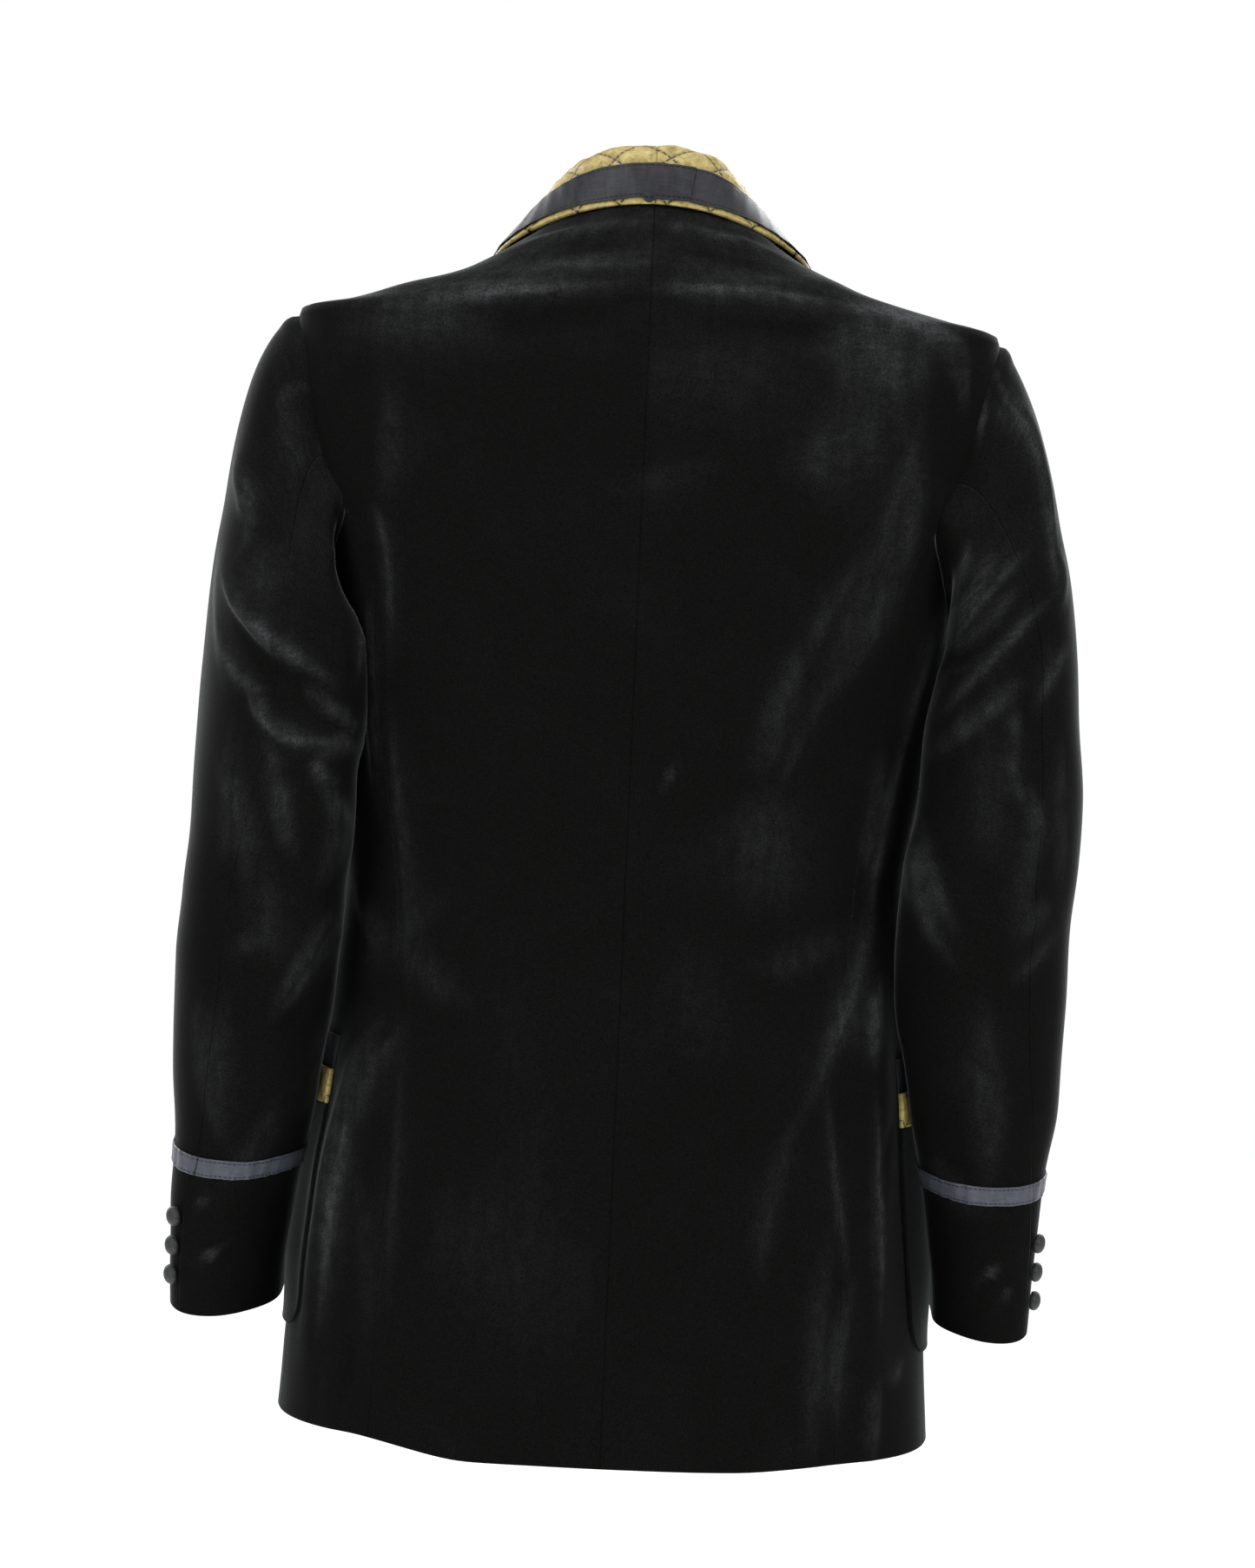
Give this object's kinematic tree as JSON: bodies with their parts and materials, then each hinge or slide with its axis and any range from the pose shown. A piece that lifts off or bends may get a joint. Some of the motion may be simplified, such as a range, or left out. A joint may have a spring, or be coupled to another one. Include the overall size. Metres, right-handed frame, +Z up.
{
  "type": "smoking jacket",
  "caption": "Black velvet smoking jacket with a quilted gold satin shawl collar, filled out as when worn, with open neck, hem, armholes and cuffs.",
  "frame": {"origin": "the base of the neck, midway between the shoulder seams, where the wearer's neck and shoulders hold the jacket", "axes": "+Z up the wearer's height, -Y out of the jacket's front, +X to the wearer's left"},
  "size_m": [0.5809, 0.2584, 0.8248],
  "materials": {
    "velvet": "black cotton velvet, matt, with a grey-blue sheen where the nap is seen along its slope",
    "quilted_satin": "old-gold satin, quilted in squares set on their corners with a dark thread",
    "black_ribbon": "black satin ribbon, soft gloss",
    "slate_ribbon": "slate satin ribbon, soft gloss, slightly puckered",
    "covered_button": "black woven silk cord over a dome"
  },
  "bodies": {
    "root": {"back_left": "velvet", "back_right": "velvet", "side_left": "velvet", "side_right": "velvet", "front_left": "velvet", "front_right": "velvet", "sleeve_top_left": "velvet", "sleeve_top_right": "velvet", "sleeve_under_left": "velvet", "sleeve_under_right": "velvet", "collar_left": "quilted_satin", "collar_right": "quilted_satin", "collar_ribbon_left": "black_ribbon", "collar_ribbon_right": "black_ribbon", "cuff_ribbon_left": "slate_ribbon", "cuff_ribbon_right": "slate_ribbon", "cuff_button_left_1": "covered_button", "cuff_button_left_2": "covered_button", "cuff_button_left_3": "covered_button", "cuff_button_right_1": "covered_button", "cuff_button_right_2": "covered_button", "cuff_button_right_3": "covered_button", "pocket_left": "velvet", "pocket_right": "velvet", "pocket_band_left": "quilted_satin", "pocket_band_right": "quilted_satin", "pocket_ribbon_left": "black_ribbon", "pocket_ribbon_right": "black_ribbon", "front_button": "covered_button"}
  },
  "joints": []
}
